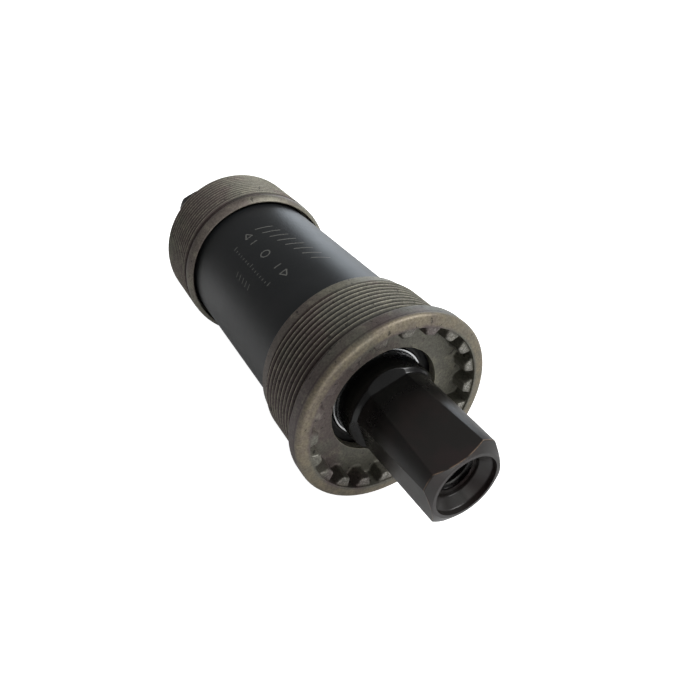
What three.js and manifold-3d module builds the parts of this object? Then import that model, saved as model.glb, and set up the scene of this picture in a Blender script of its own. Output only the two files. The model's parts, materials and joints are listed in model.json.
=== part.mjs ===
// Cartridge bottom bracket for a bicycle: a square-taper spindle on two sealed ball bearings in a
// steel shell, with a flanged drive-side cup fixed to the shell and a loose left cup.
// Millimetres. +X runs along the spindle to the drive side, +Z is up, and the origin is on the
// spindle axis, midway between the faces of the frame's shell.
import * as THREE from "three";
import { mergeVertices } from "three/addons/utils/BufferGeometryUtils.js";
import Module from "manifold-3d";

// --- Driving dimensions ---------------------------------------------------------------------

// The frame's shell, and the thread that both cups share (1.37 inch by 24 to the inch).
const FRAME_SHELL_WIDTH = 68;
const THREAD_RADIUS = 17.4;
const THREAD_PITCH = 25.4 / 24;
const THREAD_DEPTH = 0.56;

// Cups. The wall is what stands between the thread's roots and the bore.
const CUP_WALL = 1.14;
const CUP_GAP = 0.05;
const CUP_FLOOR = 1.8;
const CUP_HOLE_GAP = 2;
const LAND_LENGTH = 2;
const THREAD_RUNOUT = 0.8;
const SEAT_COLLAR = 0.1;
const DRIVE_CUP_LENGTH = 17.3;
const FLANGE_LIP = 1.2;
const FLANGE_THICKNESS = 3.3;
const FLANGE_CHAMFER = 0.45;
const LEFT_CUP_LENGTH = 16.1;
const LEFT_CUP_PROUD = 1.1;
const LEFT_CUP_GAP = 0.25;
const LEFT_MOUTH_GAP = 0.6;
const LEFT_MOUTH_DEPTH = 3;
const LEFT_MOUTH_CHAMFER = 0.9;
const LEFT_END_CHAMFER = 0.3;

// Tool splines inside each cup's outer end. Angles are in degrees.
const SPLINE_COUNT = 20;
const SPLINE_WALL = 0.54;
const SPLINE_HEIGHT = 1.7;
const SPLINE_TIP_ANGLE = 6.4;
const SPLINE_BASE_ANGLE = 11.4;
const SPLINE_DEPTH = 3.7;
const SPLINE_SETBACK = 0.35;
const DRIVE_SPLINE_PHASE = -4.7;
const LEFT_SPLINE_PHASE = 0;

// Cartridge shell.
const SHELL_WALL = 0.6;
const SHELL_STEP_GAP = 1;
const SHELL_CHAMFER = 0.3;

// Bearings: 17 mm bore, 30 mm outside diameter and 7 mm wide, which follow from these sizes.
const BALL_COUNT = 11;
const BALL_RADIUS = 3.969 / 2;
const BALL_CLEARANCE = 0.12;
const RACE_LAND_OFFSET = 1.45;
const NOSE_WALL = 0.45;
const NOSE_LENGTH = 0.8;
const NOSE_PROUD = 0.3;
const SEAL_SEAT = 0.65;
const SEAL_THICKNESS = 0.4;
const SEAL_INSET = 0.15;
const SEAL_GAP = 0.1;
const CAGE_WALL = 1.3;
const CAGE_BACK = 0.42;
const CAGE_PRONG = 1.25;
const CAGE_GAP = 0.4255;

// Spindle. Each end stands out of the frame's shell by its own overhang.
const DRIVE_OVERHANG = 21.25;
const LEFT_OVERHANG = 24.25;
const JOURNAL_RADIUS = 8.5;
const SHOULDER_HEIGHT = 1.1;
const TAPER_LENGTH = 18.25;
const TAPER_END_WIDTH = 12.75;
const TAPER_ANGLE = 2;
const TAPER_CORNER_RADIUS = 7.8;
const TAPER_RUNOUT_ANGLE = 45;
const END_CHAMFER_LENGTH = 0.9;
const END_FACE_WIDTH = 0.55;
const SPINDLE_ANGLE = 15.5;

// Bolt hole in each spindle end: M8 with a countersunk mouth.
const HOLE_MOUTH_WALL = 0.775;
const HOLE_MOUTH_DEPTH = 0.9;
const HOLE_SEAT_RADIUS = 4.2;
const HOLE_SEAT_DEPTH = 2.4;
const HOLE_RELIEF = 0.5;
const HOLE_MINOR_RADIUS = 3.4;
const HOLE_DEPTH = 24;
const DRILL_POINT_ANGLE = 118;

// Gaps that stand in for press fits, between faces, and at the ends of the shell.
const FIT_GAP = 0.05;
const AXIAL_GAP = 0.1;
const END_GAP = 0.3;

// How finely round surfaces are faceted.
const SEGMENTS = 32;
const SPINDLE_SEGMENTS = 24;
const BALL_SEGMENTS = 8;
const BALL_RINGS = 6;

// --- Places that follow from the sizes ------------------------------------------------------

// Radii, from the thread inwards and from the spindle outwards.
const threadRoot = THREAD_RADIUS - THREAD_DEPTH;
const shellRadius = threadRoot - CUP_WALL - CUP_GAP;
const bearingRadius = shellRadius - SHELL_WALL - FIT_GAP;
const ballCircle = (JOURNAL_RADIUS + bearingRadius) / 2;
const innerLand = ballCircle - RACE_LAND_OFFSET;
const outerLand = ballCircle + RACE_LAND_OFFSET;
const sealRadius = outerLand + SEAL_SEAT;
const raceBore = JOURNAL_RADIUS + FIT_GAP;
const noseRadius = raceBore + NOSE_WALL;
const cupHole = JOURNAL_RADIUS + CUP_HOLE_GAP;
const splineRoot = threadRoot - SPLINE_WALL;
const splineTip = splineRoot - SPLINE_HEIGHT;
const holeMouth = TAPER_END_WIDTH / 2 - HOLE_MOUTH_WALL;

// Distances along the axis from the middle.
const seat = FRAME_SHELL_WIDTH / 2;
const pocketRadius = BALL_RADIUS + BALL_CLEARANCE;
const sealPocket = SEAL_INSET + SEAL_THICKNESS;
const halfBearing = pocketRadius + CAGE_BACK + CAGE_GAP + sealPocket;

// Each side is described outwards from the middle, and direction mirrors it onto -X or +X.
function makeSide(direction, outerEnd, cupLength, overhang) {
  const floorFace = outerEnd - SPLINE_DEPTH;
  const floorBack = floorFace - CUP_FLOOR;
  const shellEnd = floorBack - END_GAP;
  const bearingFace = shellEnd - END_GAP;
  const bearingBack = bearingFace - 2 * halfBearing;
  return {
    direction,
    outerEnd,
    spindleEnd: seat + overhang,
    mouth: outerEnd - cupLength,
    floorFace,
    floorBack,
    shellEnd,
    bearingFace,
    bearingBack,
    bearingMiddle: bearingFace - halfBearing,
    shoulder: bearingBack - AXIAL_GAP,
  };
}

const drive = makeSide(1, seat + FLANGE_THICKNESS, DRIVE_CUP_LENGTH, DRIVE_OVERHANG);
const left = makeSide(-1, seat + LEFT_CUP_PROUD, LEFT_CUP_LENGTH, LEFT_OVERHANG);

// --- Finishes -------------------------------------------------------------------------------

const finishes = {
  phosphate: { color: 0x6f6a5f, roughness: 0.5, metalness: 0.8 },
  blackShell: { color: 0x26282a, roughness: 0.42, metalness: 0.5 },
  blackSpindle: { color: 0x1c1b1c, roughness: 0.38, metalness: 0.6 },
  groundSteel: { color: 0xc4c6c8, roughness: 0.22, metalness: 1 },
  sealRubber: { color: 0x101010, roughness: 0.75, metalness: 0 },
  nylon: { color: 0x8b7f66, roughness: 0.6, metalness: 0 },
};

const assembly = new THREE.Group();

function addPiece(name, geometry, finish) {
  const material = new THREE.MeshStandardMaterial({ ...finishes[finish], name: finish });
  const mesh = new THREE.Mesh(geometry, material);
  mesh.name = name;
  assembly.add(mesh);
  return mesh;
}

// --- Shape helpers --------------------------------------------------------------------------

const wasm = await Module();
wasm.setup();

function toSolid(geometry) {
  const bare = geometry.clone();
  bare.deleteAttribute("normal");
  bare.deleteAttribute("uv");
  const merged = mergeVertices(bare, 1e-4);
  return new wasm.Manifold(new wasm.Mesh({
    numProp: 3,
    vertProperties: new Float32Array(merged.attributes.position.array),
    triVerts: new Uint32Array(merged.index.array),
  }));
}

function toGeometry(solid) {
  const mesh = solid.getMesh();
  const geometry = new THREE.BufferGeometry();
  geometry.setAttribute("position", new THREE.BufferAttribute(mesh.vertProperties, mesh.numProp));
  geometry.setIndex(new THREE.BufferAttribute(mesh.triVerts, 1));
  return geometry;
}

// Revolves [radius, distance] points about the X axis. A profile that doesn't start and end on
// the axis is closed on itself, and its points may be given in either order.
function revolve(profile, direction = 1, segments = SEGMENTS) {
  const points = profile.map(([radius, along]) => new THREE.Vector2(radius, direction * along));
  const onAxis = points[0].x === 0 && points.at(-1).x === 0;
  if (THREE.ShapeUtils.area(points) < 0) points.reverse();
  if (!onAxis) points.push(points[0].clone());
  return new THREE.LatheGeometry(points, segments).rotateZ(-Math.PI / 2);
}

// Extrudes an outline in the YZ plane along X, from start to end.
function extrudeAlongX(outline, start, end) {
  const shape = new THREE.Shape(outline);
  const geometry = new THREE.ExtrudeGeometry(shape, { depth: end - start, bevelEnabled: false });
  geometry.applyMatrix4(new THREE.Matrix4().makeBasis(
    new THREE.Vector3(0, 1, 0),
    new THREE.Vector3(0, 0, 1),
    new THREE.Vector3(1, 0, 0),
  ));
  return geometry.translate(start, 0, 0);
}

function polar(radius, degrees) {
  const angle = THREE.MathUtils.degToRad(degrees);
  return new THREE.Vector2(radius * Math.cos(angle), radius * Math.sin(angle));
}

// --- Cups -----------------------------------------------------------------------------------

// The thread's ridges, as rings one pitch apart between two distances from the middle.
function threadRidges(start, end) {
  const count = Math.floor((end - start) / THREAD_PITCH);
  const points = [];
  for (let i = 0; i < count; i += 1) {
    const root = start + i * THREAD_PITCH;
    points.push([threadRoot, root]);
    points.push([THREAD_RADIUS, root + THREAD_PITCH / 2]);
  }
  points.push([threadRoot, start + count * THREAD_PITCH]);
  return points;
}

// Outline of the opening between the spline teeth.
function splineOutline(phase) {
  const pitch = 360 / SPLINE_COUNT;
  const points = [];
  for (let i = 0; i < SPLINE_COUNT; i += 1) {
    const tooth = phase + i * pitch;
    points.push(polar(splineTip, tooth - SPLINE_TIP_ANGLE / 2));
    points.push(polar(splineTip, tooth + SPLINE_TIP_ANGLE / 2));
    points.push(polar(splineRoot, tooth + SPLINE_BASE_ANGLE / 2));
    points.push(polar(splineRoot, tooth + pitch - SPLINE_BASE_ANGLE / 2));
  }
  return points;
}

// Cuts the recess for the tool, from the cup's floor out past its end.
function cutSplines(body, side, phase) {
  const ends = [side.floorFace, side.outerEnd + 1].map((along) => side.direction * along);
  ends.sort((a, b) => a - b);
  return toSolid(body).subtract(toSolid(extrudeAlongX(splineOutline(phase), ...ends)));
}

function driveCup() {
  const { floorBack, outerEnd, mouth } = drive;
  const bore = shellRadius + CUP_GAP;
  const collar = THREAD_RADIUS + SEAT_COLLAR;
  const flangeRadius = THREAD_RADIUS + FLANGE_LIP;
  const body = revolve([
    [bore, mouth],
    [threadRoot, mouth],
    ...threadRidges(mouth + LAND_LENGTH, seat - THREAD_RUNOUT),
    [collar, seat - THREAD_RUNOUT],
    [collar, seat],
    [flangeRadius, seat],
    [flangeRadius, outerEnd - FLANGE_CHAMFER],
    [flangeRadius - FLANGE_CHAMFER, outerEnd],
    [splineRoot, outerEnd],
    [splineRoot, outerEnd - SPLINE_SETBACK],
    [cupHole, outerEnd - SPLINE_SETBACK],
    [cupHole, floorBack],
    [bore, floorBack],
  ]);
  return toGeometry(cutSplines(body, drive, DRIVE_SPLINE_PHASE));
}

function leftCup() {
  const { floorBack, outerEnd, mouth } = left;
  const bore = shellRadius + LEFT_CUP_GAP;
  const mouthBore = shellRadius + LEFT_MOUTH_GAP;
  const body = revolve([
    [mouthBore, mouth],
    [THREAD_RADIUS - LEFT_MOUTH_CHAMFER, mouth],
    [THREAD_RADIUS, mouth + LEFT_MOUTH_CHAMFER],
    [THREAD_RADIUS, mouth + LAND_LENGTH],
    ...threadRidges(mouth + LAND_LENGTH + THREAD_DEPTH, outerEnd - THREAD_RUNOUT),
    [THREAD_RADIUS, outerEnd - LEFT_END_CHAMFER],
    [THREAD_RADIUS - LEFT_END_CHAMFER, outerEnd],
    [splineRoot, outerEnd],
    [splineRoot, outerEnd - SPLINE_SETBACK],
    [cupHole, outerEnd - SPLINE_SETBACK],
    [cupHole, floorBack],
    [bore, floorBack],
    [bore, mouth + LEFT_MOUTH_DEPTH],
    [mouthBore, mouth + LEFT_MOUTH_DEPTH],
  ], left.direction);
  return toGeometry(cutSplines(body, left, LEFT_SPLINE_PHASE));
}

addPiece("drive_cup", driveCup(), "phosphate");
addPiece("left_cup", leftCup(), "phosphate");

// --- Cartridge shell ------------------------------------------------------------------------

function cartridgeShell() {
  const bearingBore = bearingRadius + FIT_GAP;
  const innerBore = outerLand + SHELL_STEP_GAP;
  return revolve([
    [bearingBore, -left.shellEnd],
    [shellRadius - SHELL_CHAMFER, -left.shellEnd],
    [shellRadius, SHELL_CHAMFER - left.shellEnd],
    [shellRadius, drive.shellEnd - SHELL_CHAMFER],
    [shellRadius - SHELL_CHAMFER, drive.shellEnd],
    [bearingBore, drive.shellEnd],
    [bearingBore, drive.shoulder],
    [innerBore, drive.shoulder],
    [innerBore, -left.shoulder],
    [bearingBore, -left.shoulder],
  ]);
}

addPiece("cartridge_shell", cartridgeShell(), "blackShell");

// --- Spindle --------------------------------------------------------------------------------

// Half of the spindle's section, from its middle to one end and back down the bolt hole.
function spindleHalf(side) {
  const { shoulder, spindleEnd } = side;
  const taperStart = spindleEnd - TAPER_LENGTH;
  const drillPoint = HOLE_MINOR_RADIUS / Math.tan(THREE.MathUtils.degToRad(DRILL_POINT_ANGLE / 2));
  return [
    [JOURNAL_RADIUS + SHOULDER_HEIGHT, shoulder],
    [JOURNAL_RADIUS, shoulder],
    [JOURNAL_RADIUS, taperStart - JOURNAL_RADIUS + TAPER_CORNER_RADIUS],
    [TAPER_CORNER_RADIUS, taperStart],
    [TAPER_CORNER_RADIUS, spindleEnd - END_CHAMFER_LENGTH],
    [holeMouth + END_FACE_WIDTH, spindleEnd],
    [holeMouth, spindleEnd],
    [holeMouth, spindleEnd - HOLE_MOUTH_DEPTH],
    [HOLE_SEAT_RADIUS, spindleEnd - HOLE_SEAT_DEPTH],
    [HOLE_SEAT_RADIUS, spindleEnd - HOLE_SEAT_DEPTH - HOLE_RELIEF],
    [HOLE_MINOR_RADIUS, spindleEnd - HOLE_SEAT_DEPTH - HOLE_RELIEF],
    [HOLE_MINOR_RADIUS, spindleEnd - HOLE_DEPTH],
    [0, spindleEnd - HOLE_DEPTH - drillPoint],
  ];
}

// What is cut away to leave one flat of the taper, with its sloped run-out into the journal.
function flatCutter(side, degrees) {
  const { direction, spindleEnd } = side;
  const reach = 2 * JOURNAL_RADIUS;
  const slope = Math.tan(THREE.MathUtils.degToRad(TAPER_ANGLE));
  const endHeight = TAPER_END_WIDTH / 2;
  const startHeight = endHeight + TAPER_LENGTH * slope;
  const runout = (reach - startHeight) / Math.tan(THREE.MathUtils.degToRad(TAPER_RUNOUT_ANGLE));
  const start = spindleEnd - TAPER_LENGTH;
  const outline = [
    [start, startHeight],
    [spindleEnd + 1, endHeight - slope],
    [spindleEnd + 1, reach],
    [start - runout, reach],
  ].map(([along, height]) => new THREE.Vector2(along, height));
  const block = new THREE.ExtrudeGeometry(new THREE.Shape(outline), {
    depth: 2 * reach,
    bevelEnabled: false,
  });
  block.translate(0, 0, -reach);
  if (direction < 0) block.rotateY(Math.PI);
  return toSolid(block.rotateX(THREE.MathUtils.degToRad(degrees)));
}

function spindle() {
  const driveHalf = spindleHalf(drive);
  const leftHalf = spindleHalf(left).map(([radius, along]) => [radius, -along]);
  let body = toSolid(revolve([...leftHalf.reverse(), ...driveHalf], 1, SPINDLE_SEGMENTS));
  for (const side of [left, drive]) {
    for (let i = 0; i < 4; i += 1) {
      body = body.subtract(flatCutter(side, SPINDLE_ANGLE + 90 * i));
    }
  }
  return toGeometry(body);
}

addPiece("spindle", spindle(), "blackSpindle");

// --- Bearings -------------------------------------------------------------------------------

// A ball groove's arc in a race, on the inner or the outer side of the ball circle.
function groove(side, outwards) {
  const halfSpan = Math.acos(RACE_LAND_OFFSET / pocketRadius);
  return [-1, -0.5, 0, 0.5, 1].map((step) => [
    ballCircle + outwards * pocketRadius * Math.cos(step * halfSpan),
    side.bearingMiddle + pocketRadius * Math.sin(step * halfSpan),
  ]);
}

function innerRace(side) {
  return revolve([
    [raceBore, side.bearingBack],
    [innerLand, side.bearingBack],
    ...groove(side, -1),
    [innerLand, side.bearingFace - NOSE_LENGTH],
    [noseRadius, side.bearingFace - NOSE_LENGTH],
    [noseRadius, side.bearingFace + NOSE_PROUD],
    [raceBore, side.bearingFace + NOSE_PROUD],
  ], side.direction);
}

function outerRace(side) {
  const pocket = sealPocket + SEAL_GAP;
  const recess = sealRadius + SEAL_GAP;
  return revolve([
    [bearingRadius, side.bearingBack],
    [recess, side.bearingBack],
    [recess, side.bearingBack + pocket],
    [outerLand, side.bearingBack + pocket],
    ...groove(side, 1),
    [outerLand, side.bearingFace - pocket],
    [recess, side.bearingFace - pocket],
    [recess, side.bearingFace],
    [bearingRadius, side.bearingFace],
  ], side.direction);
}

// A flat seal ring just inside one face of the bearing.
function seal(side, innerRadius, near) {
  return revolve([
    [innerRadius, near],
    [sealRadius, near],
    [sealRadius, near + SEAL_THICKNESS],
    [innerRadius, near + SEAL_THICKNESS],
  ], side.direction);
}

function ballCentre(side, index) {
  const around = polar(ballCircle, (360 / BALL_COUNT) * index);
  return new THREE.Vector3(side.direction * side.bearingMiddle, around.x, around.y);
}

// A crown cage: a ring behind the balls, with prongs that reach between them.
function ballCage(side) {
  const back = side.bearingMiddle - pocketRadius - CAGE_BACK;
  const front = side.bearingMiddle + CAGE_PRONG;
  let body = toSolid(revolve([
    [ballCircle - CAGE_WALL / 2, back],
    [ballCircle + CAGE_WALL / 2, back],
    [ballCircle + CAGE_WALL / 2, front],
    [ballCircle - CAGE_WALL / 2, front],
  ], side.direction));
  const pocket = new THREE.SphereGeometry(pocketRadius, BALL_SEGMENTS, BALL_RINGS);
  for (let i = 0; i < BALL_COUNT; i += 1) {
    const { x, y, z } = ballCentre(side, i);
    body = body.subtract(toSolid(pocket).translate([x, y, z]));
  }
  return toGeometry(body);
}

function addBearing(label, side) {
  addPiece(`${label}_inner_race`, innerRace(side), "groundSteel");
  addPiece(`${label}_outer_race`, outerRace(side), "groundSteel");
  const outerSealNear = side.bearingFace - sealPocket;
  const innerSealNear = side.bearingBack + SEAL_INSET;
  addPiece(`${label}_outer_seal`, seal(side, noseRadius + SEAL_GAP, outerSealNear), "sealRubber");
  addPiece(`${label}_inner_seal`, seal(side, innerLand + SEAL_GAP, innerSealNear), "sealRubber");
  addPiece(`${label}_ball_cage`, ballCage(side), "nylon");
  const ball = new THREE.SphereGeometry(BALL_RADIUS, BALL_SEGMENTS, BALL_RINGS);
  for (let i = 0; i < BALL_COUNT; i += 1) {
    const number = String(i + 1).padStart(2, "0");
    const mesh = addPiece(`${label}_ball_${number}`, ball, "groundSteel");
    mesh.position.copy(ballCentre(side, i));
  }
}

addBearing("drive", drive);
addBearing("left", left);

export default assembly;
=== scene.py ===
"""Finished surfaces of a square-taper cartridge bottom bracket, built round its CAD frame."""
import json
import math

import bmesh
import bpy
from bpy.props import FloatProperty, FloatVectorProperty, IntProperty, PointerProperty
from mathutils import Matrix, Vector


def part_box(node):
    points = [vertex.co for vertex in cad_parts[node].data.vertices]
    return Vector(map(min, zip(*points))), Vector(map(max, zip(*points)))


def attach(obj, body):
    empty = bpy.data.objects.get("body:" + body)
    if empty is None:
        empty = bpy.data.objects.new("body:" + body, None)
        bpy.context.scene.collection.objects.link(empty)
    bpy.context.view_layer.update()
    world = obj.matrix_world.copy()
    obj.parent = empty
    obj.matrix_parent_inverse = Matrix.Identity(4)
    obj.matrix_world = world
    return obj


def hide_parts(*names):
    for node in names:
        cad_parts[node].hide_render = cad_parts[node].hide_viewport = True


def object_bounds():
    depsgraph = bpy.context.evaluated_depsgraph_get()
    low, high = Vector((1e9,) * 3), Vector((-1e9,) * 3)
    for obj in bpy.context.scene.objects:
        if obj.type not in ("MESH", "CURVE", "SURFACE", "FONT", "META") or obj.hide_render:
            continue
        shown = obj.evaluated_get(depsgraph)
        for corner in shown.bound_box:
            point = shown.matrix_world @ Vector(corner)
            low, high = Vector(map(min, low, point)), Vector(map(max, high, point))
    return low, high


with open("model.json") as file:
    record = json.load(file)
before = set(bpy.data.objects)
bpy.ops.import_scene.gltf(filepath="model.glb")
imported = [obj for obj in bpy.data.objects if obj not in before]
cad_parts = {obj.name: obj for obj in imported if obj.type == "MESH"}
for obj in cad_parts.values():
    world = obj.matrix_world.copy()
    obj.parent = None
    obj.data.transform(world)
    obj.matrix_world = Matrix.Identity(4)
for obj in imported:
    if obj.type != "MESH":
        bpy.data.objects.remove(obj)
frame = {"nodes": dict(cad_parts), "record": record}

bl_info = {
    "name": "Cartridge Bottom Bracket",
    "version": (1, 0, 0),
    "blender": (4, 5, 0),
    "location": "3D View > Sidebar > Bottom Bracket",
    "description": "Builds the cups, shell, spindle and bearings of a bicycle bottom bracket",
    "category": "Add Mesh",
}

CAD_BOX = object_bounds()
MM = 0.001
FULL_TURN = 2 * math.pi
SIDES = {"drive": 1, "left": -1}
MOUNTS = {mount["name"]: Vector(mount["pos_m"]) for mount in frame["record"]["mounts"]}


# --- Settings -------------------------------------------------------------------------------

def length(name, description, default):
    return FloatProperty(
        name=name, description=description, default=default * MM, unit="LENGTH", precision=5
    )


def angle(name, description, default):
    return FloatProperty(
        name=name, description=description, default=math.radians(default), subtype="ANGLE"
    )


def colour(name, description, default):
    return FloatVectorProperty(
        name=name, description=description, default=default, subtype="COLOR", min=0, max=1
    )


class CupSettings(bpy.types.PropertyGroup):
    """Sizes of the two threaded cups."""

    pitch: length("Thread pitch", "Distance from one thread crest to the next", 25.4 / 24)
    depth: length("Thread depth", "Height of the thread's crests over its roots", 0.56)
    land: length("Land", "Plain stretch between the mouth and the thread", 2.0)
    relief: length("Thread relief", "Plain groove between the thread and the flange's seat", 0.8)
    bore: length("Drive cup bore", "Radius of the drive cup's bore, a fit on the shell", 15.7)
    left_bore: length("Left cup bore", "Radius of the left cup's bore, a sliding fit", 15.9)
    left_mouth: length("Left cup mouth", "Radius of the wider bore at the left cup's mouth", 16.25)
    left_mouth_depth: length("Left mouth depth", "How far the wider bore goes in", 3.0)
    left_lead: length("Left cup lead", "Chamfer round the outside of the left cup's mouth", 0.9)
    floor: length("Floor", "Thickness of the floor behind the splines", 1.8)
    hole: length("Floor hole", "Radius of the hole that the spindle passes through", 10.5)
    edge_round: length("Flange edge", "Length of the round along the flange's front edge", 1.05)
    thread_lead: length("Thread lead", "Length over which the first crest rises", 0.6)
    end_chamfer: length("Left cup end chamfer", "Chamfer round the left cup's outer end", 0.35)


class SplineSettings(bpy.types.PropertyGroup):
    """Sizes of the tool splines in the cups."""

    count: IntProperty(name="Teeth", description="Number of spline teeth", default=20, min=8)
    root: length("Root radius", "Radius of the gaps between the teeth", 16.3)
    tip: length("Tip radius", "Radius of the teeth's inner faces", 14.6)
    tip_angle: angle("Tip angle", "Width of a tooth at its inner face", 6.4)
    base_angle: angle("Base angle", "Width of a tooth where it meets the cup's wall", 11.4)
    depth: length("Depth", "Distance from the cup's end to the floor", 3.7)
    setback: length("Setback", "How far the teeth stop short of the cup's end", 0.35)
    drive_phase: angle("Drive phase", "Where the drive cup's first tooth stands", -4.7)
    left_phase: angle("Left phase", "Where the left cup's first tooth stands", 0.0)


class SpindleSettings(bpy.types.PropertyGroup):
    """Sizes of the spindle."""

    journal: length("Journal", "Radius of the journals that the bearings sit on", 8.5)
    shoulder: length("Shoulder", "Height of the body over the journals", 1.1)
    taper: length("Taper length", "Length of the four flats at each end", 18.25)
    flat: length("Flat", "Distance from the axis to a flat at the spindle's end", 6.375)
    taper_angle: angle("Taper angle", "Slope of the flats", 2.0)
    corner: length("Corner radius", "Radius of the round corners between the flats", 7.8)
    turned: angle("Turned", "How far the first flat is turned from +Y towards +Z", 15.5)
    end_chamfer: length("End chamfer", "Length of the chamfer at each end", 0.9)
    end_face: length("End face", "Width of the end face round the hole's mouth", 0.55)
    mouth: length("Hole mouth", "Radius of the bolt hole's mouth", 5.6)
    mouth_depth: length("Mouth depth", "Depth of the straight part of the mouth", 0.9)
    seat: length("Hole seat", "Radius where the mouth's cone ends", 4.2)
    seat_depth: length("Seat depth", "Depth of the foot of the mouth's cone", 2.4)
    hole_relief: length("Relief", "Plain stretch before the bolt thread", 0.5)
    minor: length("Bolt thread minor radius", "Radius of the bolt thread's crests", 3.4)
    major: length("Bolt thread major radius", "Radius of the bolt thread's roots", 4.0)
    bolt_pitch: length("Bolt thread pitch", "Distance from one crest to the next", 1.25)
    hole_depth: length("Hole depth", "Depth of the bolt hole", 24.0)


class BearingSettings(bpy.types.PropertyGroup):
    """Sizes of the two ball bearings."""

    pocket: length("Ball groove", "Radius of the grooves that the balls run in", 2.1045)
    land_offset: length("Land offset", "Distance from the ball circle to either race's land", 1.45)
    bore: length("Bore", "Radius of the inner race's bore", 8.55)
    nose: length("Nose radius", "Radius of the inner race's nose, inside the seal", 9.0)
    nose_length: length("Nose length", "Length of the nose behind the bearing's face", 0.8)
    proud: length("Nose proud", "How far the nose stands out of the bearing's face", 0.3)
    recess: length("Seal recess", "Radius of the seal's recess in the outer race", 13.95)
    recess_depth: length("Recess depth", "Depth of the seal's recess", 0.65)


class FinishSettings(bpy.types.PropertyGroup):
    """Colours of the finishes."""

    phosphate: colour("Phosphate", "Phosphate coat on the cups", (0.150, 0.145, 0.118))
    phosphate_maroon: colour("Maroon", "Maroon patches of the coat", (0.135, 0.106, 0.100))
    # Also lightens the wall of the floor's hole as painted light.
    phosphate_worn_and_painted_light: colour("Worn coat", "The coat where it is rubbed thin", (0.39, 0.365, 0.28))
    phosphate_gold: colour("Golden edge", "The worn edge of the flange", (0.235, 0.200, 0.140))
    # Also a painted highlight: far brighter on the teeth on one side of each cup.
    teeth_steel_and_highlight: colour("Bare steel", "Bare steel on the fronts of the teeth", (0.42, 0.41, 0.38))
    # Darkens the threads' grooves with grime and painted shade; also the colour of pits.
    phosphate_dark_and_shade: colour("Stain", "Dark stain in the cups' grooves", (0.020, 0.018, 0.015))
    # Darkens the grooves with grime and painted shade, and a thin line on the flange.
    maroon_dark_and_shade: colour("Maroon stain", "Maroon stain in grooves", (0.030, 0.015, 0.013))
    shell_black: colour("Shell black", "Satin black coat on the shell", (0.0125, 0.0140, 0.0150))
    spindle_black: colour("Spindle black", "Black oxide on the journals", (0.003, 0.003, 0.003))
    spindle_aged: colour("Spindle aged", "Black oxide towards the ends", (0.012, 0.0105, 0.0095))
    spindle_maroon: colour("Spindle maroon", "Maroon tint of the flats", (0.022, 0.012, 0.012))
    spindle_worn: colour("Spindle worn", "Brown steel at the flats' ends", (0.22, 0.15, 0.10))
    steel: colour("Bearing steel", "Ground bearing steel", (0.62, 0.63, 0.64))
    rubber: colour("Rubber", "Nitrile rubber of the seals", (0.012, 0.012, 0.012))
    nylon: colour("Nylon", "Nylon of the ball cages", (0.45, 0.38, 0.27))
    marks: colour("Marks", "Pale marks on the shell", (0.13, 0.13, 0.122))


class BracketSettings(bpy.types.PropertyGroup):
    """Everything that can be set on the bottom bracket."""

    cup: PointerProperty(name="Cups", description="Sizes of the cups", type=CupSettings)
    spline: PointerProperty(name="Splines", description="Tool splines", type=SplineSettings)
    spindle: PointerProperty(name="Spindle", description="The spindle", type=SpindleSettings)
    bearing: PointerProperty(name="Bearings", description="The bearings", type=BearingSettings)
    finish: PointerProperty(name="Finishes", description="Colours", type=FinishSettings)


# --- Surfaces -------------------------------------------------------------------------------

def extent(node):
    """Where a CAD node starts and ends along the axis, going outwards, and its radius."""
    low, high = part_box(node)
    ends = sorted((abs(low.x), abs(high.x)))
    return ends[0], ends[1], high.z


def even_angles(count, phase=0.0):
    return [phase + FULL_TURN * i / count for i in range(count)]


def ring(angles, x, radius):
    """Points round the X axis. x and radius are numbers, or lists with one value an angle."""
    xs = x if isinstance(x, list) else [x] * len(angles)
    radii = radius if isinstance(radius, list) else [radius] * len(angles)
    return [
        (along, reach * math.cos(a), reach * math.sin(a))
        for a, along, reach in zip(angles, xs, radii)
    ]


def soften(profile, closed=False, steps=4):
    """Rounds a profile's corners. Each point is (along, radius, length of the round)."""
    count = len(profile)
    softened = []
    for i, (along, radius, size) in enumerate(profile):
        corner = Vector((along, radius))
        if not size or (not closed and i in (0, count - 1)):
            softened.append(tuple(corner))
            continue
        before = Vector(profile[i - 1][:2]) - corner
        after = Vector(profile[(i + 1) % count][:2]) - corner
        start = corner + before.normalized() * min(size, before.length * 0.45)
        end = corner + after.normalized() * min(size, after.length * 0.45)
        for step in range(steps + 1):
            t = step / steps
            softened.append(tuple(start * (1 - t) ** 2 + corner * 2 * t * (1 - t) + end * t * t))
    return softened


def eased(t, ease):
    """0 below 0, 1 above 1 and t between them, with both bends rounded."""
    if t <= -ease:
        return 0.0
    if t < ease:
        return (t + ease) ** 2 / (4 * ease)
    if t <= 1 - ease:
        return t
    if t < 1 + ease:
        return 1 - (1 + ease - t) ** 2 / (4 * ease)
    return 1.0


def helix(angles, start, end, pitch, rise, base, height, form, leads):
    """Rings of a thread between two places along the axis, and how many rings make one turn.

    rise is 1 where the thread moves outwards as the angle grows, and -1 where it moves inwards.
    form lists the thread's section over one pitch as (share of the pitch, share of the height).
    leads are the lengths of the chamfers that cut the crests back at the low and the high end.
    """
    low, high = min(start, end), max(start, end)
    per_turn = len(form)
    rings = []
    index = 0
    while True:
        share_of_pitch, share_of_height = form[index % per_turn]
        first = low - pitch + pitch * (index // per_turn + share_of_pitch)
        places = []
        radii = []
        for a in angles:
            turned = (a - angles[0]) / FULL_TURN
            place = first + pitch * (turned if rise > 0 else 1 - turned)
            place = min(max(place, low), high)
            limit = min((place - low) / leads[0], (high - place) / leads[1])
            places.append(place)
            radii.append(base + height * min(share_of_height, limit))
        rings.append((places, radii))
        if first >= high:
            break
        index += 1
    return rings, rise * per_turn


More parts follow.
